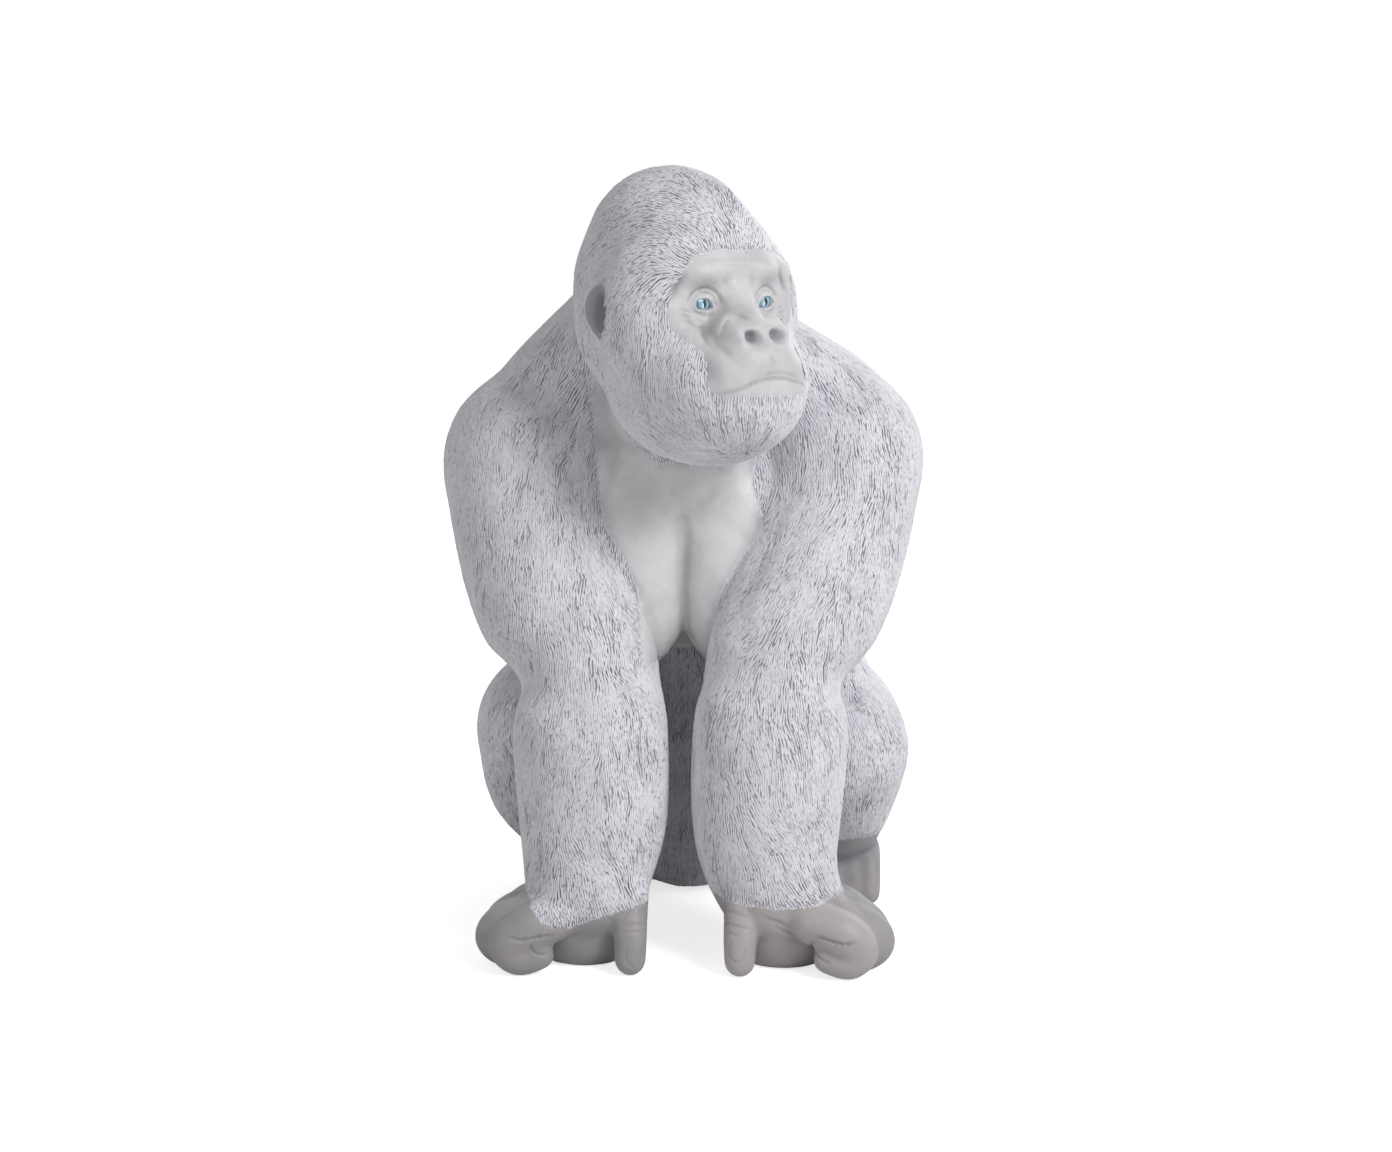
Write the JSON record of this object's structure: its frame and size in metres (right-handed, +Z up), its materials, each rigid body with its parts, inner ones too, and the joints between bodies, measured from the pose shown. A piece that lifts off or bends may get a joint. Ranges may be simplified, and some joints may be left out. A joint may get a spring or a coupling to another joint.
{
  "type": "gorilla figurine",
  "caption": "one-piece cast figurine of a gorilla that squats on its haunches with its knuckles on the ground and its head turned to one side",
  "frame": {"origin": "on the ground, under the middle of the figurine's bounding box", "axes": "+Z is up, the figurine's body faces -Y, and its left arm is on +X; its face is turned 35 degrees from -Y towards +X"},
  "size_m": [0.4809, 0.499, 0.7646],
  "materials": {
    "painted_resin": "matte cast resin, painted off-white with a cool grey wash in the hollows of the coat"
  },
  "bodies": {
    "root": {"gorilla": "painted_resin"}
  },
  "joints": []
}
